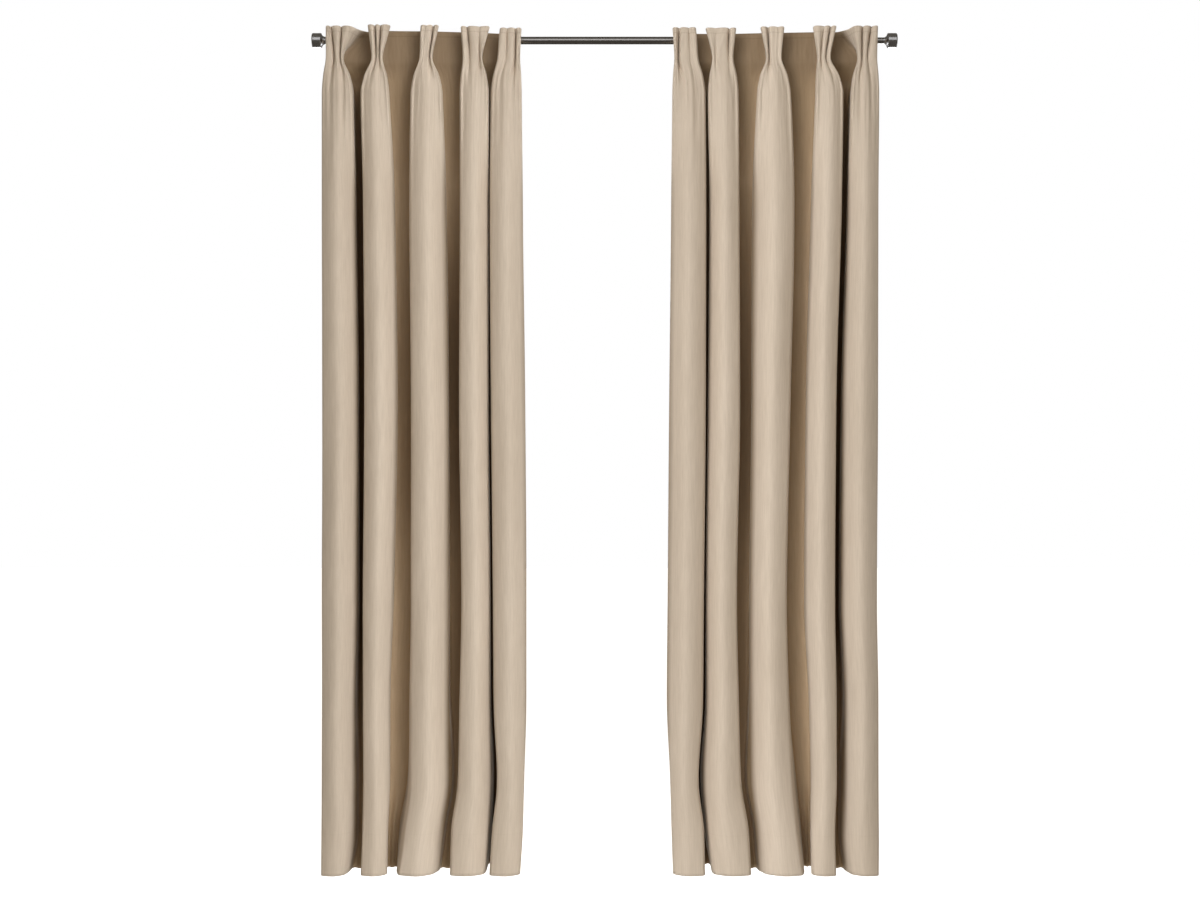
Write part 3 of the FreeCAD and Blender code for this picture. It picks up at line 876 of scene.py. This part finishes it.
def metal_material(name, light, dark, roughness, stretch):
    """Satin plated metal: brushing along the piece, uneven plating and a few dull patches."""
    material, tree, bsdf = new_material(name)
    place = add_node(tree, "ShaderNodeTexCoord").outputs["Object"]
    brushing = noise(tree, scaled(tree, place, stretch), 1.0, detail=4, roughness=0.65)
    patches = noise(tree, place, PATCH_SCALE, detail=4)
    tone = ramp(tree, brushing, ((0.30, dark), (0.70, light)))
    worn = ramp(tree, patches, PATCH_TONES)
    tree.links.new(multiply_colours(tree, tone, worn, PATCH_SHARE), bsdf.inputs["Base Color"])
    brushed = math_node(tree, "MULTIPLY", brushing, BRUSHING_SHARE)
    patchy = math_node(tree, "MULTIPLY", patches, 1 - BRUSHING_SHARE)
    smoothest, roughest = (roughness * share for share in METAL_ROUGHNESS_SPAN)
    unevenness = value_range(tree, math_node(tree, "ADD", brushed, patchy), smoothest, roughest)
    tree.links.new(unevenness, bsdf.inputs["Roughness"])
    bump(tree, bsdf, brushing, strength=0.05, distance=0.0001)
    bsdf.inputs["Metallic"].default_value = 1.0
    return material


def paint_material(name, light, dark):
    """Powder coat over steel: a fine orange-peel skin and slight tonal variation."""
    material, tree, bsdf = new_material(name)
    place = add_node(tree, "ShaderNodeTexCoord").outputs["Object"]
    peel = noise(tree, place, PEEL_SCALE, detail=2)
    tone = noise(tree, place, PAINT_DRIFT_SCALE, detail=3)
    tree.links.new(ramp(tree, tone, ((0.3, dark), (0.7, light))), bsdf.inputs["Base Color"])
    tree.links.new(value_range(tree, tone, *PAINT_ROUGHNESS), bsdf.inputs["Roughness"])
    bump(tree, bsdf, peel, strength=0.25, distance=0.0002)
    bsdf.inputs["Metallic"].default_value = PAINT_METALLIC
    return material


def nylon_material(name):
    """Natural nylon: slightly waxy off-white with faint flow marks."""
    material, tree, bsdf = new_material(name)
    place = add_node(tree, "ShaderNodeTexCoord").outputs["Object"]
    flow = noise(tree, scaled(tree, place, FLOW_SCALE), 1.0, detail=3)
    tree.links.new(ramp(tree, flow, NYLON_TONES), bsdf.inputs["Base Color"])
    tree.links.new(value_range(tree, flow, *NYLON_ROUGHNESS), bsdf.inputs["Roughness"])
    bump(tree, bsdf, flow, strength=0.1, distance=0.0002)
    return material


def floor_material():
    """Plain white underlit studio floor with a barely visible mottle."""
    material, tree, bsdf = new_material("studio_floor")
    place = add_node(tree, "ShaderNodeTexCoord").outputs["Object"]
    mottle = noise(tree, place, FLOOR_MOTTLE_SCALE, detail=3)
    white = ramp(tree, mottle, FLOOR_TONES)
    tree.links.new(white, bsdf.inputs["Base Color"])
    tree.links.new(white, bsdf.inputs["Emission Color"])
    bsdf.inputs["Emission Strength"].default_value = FLOOR_GLOW
    bsdf.inputs["Roughness"].default_value = 0.9
    bsdf.inputs["Specular IOR Level"].default_value = 0.1
    return material


CLOTH = cloth_material("curtain_sateen", (0.66, 0.568, 0.472), (0.62, 0.530, 0.435), sheen=0.5)
TAB_CLOTH = cloth_material("tab_cloth", (0.62, 0.53, 0.425), (0.56, 0.475, 0.375), sheen=0.3, is_panel=False)
ROD_METAL = metal_material("pewter_rod", (0.28, 0.27, 0.265), (0.22, 0.213, 0.21), 0.24, (2, 240, 240))
FINIAL_METAL = metal_material("pewter_finial", (0.42, 0.42, 0.43), (0.30, 0.30, 0.308), 0.24, (240, 20, 20))
BRACKET_PAINT = paint_material("pewter_paint", (0.16, 0.152, 0.145), (0.12, 0.115, 0.11))
SCREW_STEEL = metal_material("plated_steel", (0.45, 0.44, 0.43), (0.33, 0.325, 0.32), 0.3, (60, 60, 900))
NYLON = nylon_material("nylon")


# --- Panels -------------------------------------------------------------------------------------------------

PLEATS_PER_PANEL = len(LEFT_PLEATS)


def gather(piece, side):
    """Ride on the panel's outermost fold, with a mesh of its own.
    """
    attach(piece, f"{side}_fold_1")
    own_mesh(piece)


def make_panel(side, pleats, falls, seed):
    """Build one panel in place of its CAD pleats and webs, and let it move with its joints."""
    panel = build_panel(side, pleats, falls, seed, CLOTH)
    gather(panel, side)
    nodes = [f"{side}_pleat_{number}" for number in range(1, PLEATS_PER_PANEL + 1)]
    nodes += [f"{side}_web_{number}" for number in range(1, PLEATS_PER_PANEL)]
    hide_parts(*nodes)


# The falls are those of a fold's left and right edge, so the two panels mirror each other.
make_panel("left", LEFT_PLEATS, (OUTER_FALLS, INNER_FALLS), seed=11)
make_panel("right", RIGHT_PLEATS, (INNER_FALLS, OUTER_FALLS), seed=23)


# --- Materials of the CAD pieces ----------------------------------------------------------------------------

NODE_MATERIALS = {
    "outer_rod_tube": ROD_METAL,
    "inner_rod_tube": ROD_METAL,
    "rod_bush": NYLON,
    "inner_rod_glide": NYLON,
    "left_end_plug": NYLON,
    "right_end_plug": NYLON,
}
for side_name in ("left", "right"):
    for part_name in ("plate", "arm", "cradle"):
        NODE_MATERIALS[f"{side_name}_bracket_{part_name}"] = BRACKET_PAINT
    for part_name in ("clamp_screw", "finial_stud"):
        NODE_MATERIALS[f"{side_name}_{part_name}"] = SCREW_STEEL
    for part_name in ("finial_collar", "finial_cap"):
        NODE_MATERIALS[f"{side_name}_{part_name}"] = FINIAL_METAL
    for number in range(1, PLEATS_PER_PANEL + 1):
        NODE_MATERIALS[f"{side_name}_tab_{number}"] = TAB_CLOTH
for node_name, node_material in NODE_MATERIALS.items():
    node_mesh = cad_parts[node_name].data
    node_mesh.materials.clear()
    node_mesh.materials.append(node_material)


# --- Stage, light and camera --------------------------------------------------------------------------------

# The floor: half its width, and how far it lies below the hem.
FLOOR_HALF = 14.0
FLOOR_DROP = 0.30

# The studio's even fill, from straight above and straight below.  Dark flags stand round the studio, so less
# of it is left in reflections.
FILL_ABOVE = 0.44
FILL_BELOW = 0.30
REFLECTED_FILL = 0.5
FILL_COLOUR = (1.0, 0.91, 0.77)

# The lights of the left panel: place, target, width, height, power and beam angle.  The right panel's are
# their mirror images.  The key lights stand in front and towards the middle of the window, so that the folds'
# inner sides are lit and their outer sides are in shade.
KEY_HEIGHT = -1.05
KEY_LENGTH = 3.1
KEY_LIGHTS = (
    ((-0.20, -1.20, KEY_HEIGHT), (-0.50, -0.10, KEY_HEIGHT), 0.40, KEY_LENGTH, 0.8, 45),
    ((0.26, -1.20, KEY_HEIGHT), (-0.52, -0.10, KEY_HEIGHT), 0.55, KEY_LENGTH, 4.9, 60),
)
FULL_BEAM = 180
BACK_LIGHT = ((-1.1, 1.7, -0.6), (-0.4, 0.0, -1.0), 0.5, 2.2, 16.0, FULL_BEAM)
SIDE_LIGHT = ((-2.3, 0.5, -0.9), (-0.7, -0.1, -1.0), 0.6, 2.4, 6.0, FULL_BEAM)
OVERHEAD_LIGHT = ((0.0, -2.0, 0.62), (0.0, -0.09, 0.0), 2.4, 1.4, 17.0, FULL_BEAM)

CAMERA_X = -0.005
CAMERA_HEIGHT = -1.0476
CAMERA_DISTANCE = 4.0
CAMERA_SENSOR_MM = 36.0
CAMERA_LENS_MM = 46.9


def make_floor():
    """A pale floor well below the hem.  It glows by itself, so it throws no light up the folds."""
    mesh = bpy.data.meshes.new("studio_floor")
    corners = [(x * FLOOR_HALF, y * FLOOR_HALF, 0) for x, y in ((-1, -1), (1, -1), (1, 1), (-1, 1))]
    mesh.from_pydata(corners, [], [(0, 1, 2, 3)])
    floor = add_object("studio_floor", mesh, floor_material())
    floor.location.z = HEM - FLOOR_DROP
    floor.visible_diffuse = False
    floor.visible_glossy = False
    floor.visible_shadow = False


def make_world():
    """A white studio: white to the camera, and dimmer light from all round that weakens towards the floor."""
    world = bpy.data.worlds.new("studio")
    scene.world = world
    world.use_nodes = True
    tree = world.node_tree
    background = tree.nodes["Background"]
    direction = add_node(tree, "ShaderNodeTexCoord").outputs["Generated"]
    height = tree.nodes.new("ShaderNodeSeparateXYZ")
    tree.links.new(direction, height.inputs["Vector"])
    fill = value_range(tree, height.outputs["Z"], FILL_BELOW, FILL_ABOVE, start=-1.0)
    path = tree.nodes.new("ShaderNodeLightPath")
    flags = value_range(tree, path.outputs["Is Glossy Ray"], 1.0, REFLECTED_FILL)
    dimmed = math_node(tree, "MULTIPLY", fill, flags)
    strength = math_node(tree, "MAXIMUM", path.outputs["Is Camera Ray"], dimmed)
    tree.links.new(strength, background.inputs["Strength"])
    colour = add_node(tree, "ShaderNodeMix", {"data_type": "RGBA"})
    colour.inputs["A"].default_value = (*FILL_COLOUR, 1)
    colour.inputs["B"].default_value = (1.0, 1.0, 1.0, 1)
    tree.links.new(path.outputs["Is Camera Ray"], colour.inputs["Factor"])
    tree.links.new(colour.outputs["Result"], background.inputs["Color"])


def make_softbox(name, place, target, width, height, power, beam, direction=1):
    """A rectangular light with a honeycomb that narrows its beam.  A direction of -1 mirrors it."""
    light = bpy.data.lights.new(name, "AREA")
    light.spread = math.radians(beam)
    light.shape = "RECTANGLE"
    light.size = width
    light.size_y = height
    light.energy = power
    lamp = bpy.data.objects.new(name, light)
    scene.collection.objects.link(lamp)
    place, target = (Vector((direction * x, y, z)) for x, y, z in (place, target))
    lamp.location = place
    lamp.rotation_mode = "QUATERNION"
    lamp.rotation_quaternion = (target - place).to_track_quat("-Z", "Y")
    lamp.visible_camera = False
    return lamp


def make_lights():
    """Key lights in front of each panel, a light behind it, one beside it, and one overhead for the metal."""
    for side, direction in (("left", 1), ("right", -1)):
        for number, key_light in enumerate(KEY_LIGHTS):
            key = make_softbox(f"{side}_key_{number}", *key_light, direction)
            key.visible_glossy = False
        make_softbox(f"{side}_back", *BACK_LIGHT, direction)
        make_softbox(f"{side}_side", *SIDE_LIGHT, direction)
    overhead = make_softbox("overhead", *OVERHEAD_LIGHT)
    overhead.visible_diffuse = False


def make_camera():
    """Straight on, at half the height of the panels."""
    data = bpy.data.cameras.new("camera")
    data.sensor_width = CAMERA_SENSOR_MM
    data.lens = CAMERA_LENS_MM
    camera = bpy.data.objects.new("camera", data)
    scene.collection.objects.link(camera)
    camera.location = (CAMERA_X, ROD_AXIS.y - CAMERA_DISTANCE, CAMERA_HEIGHT)
    camera.rotation_euler = (math.pi / 2, 0, 0)
    scene.camera = camera


make_floor()
make_world()
make_lights()
make_camera()
scene.view_settings.view_transform = "Standard"
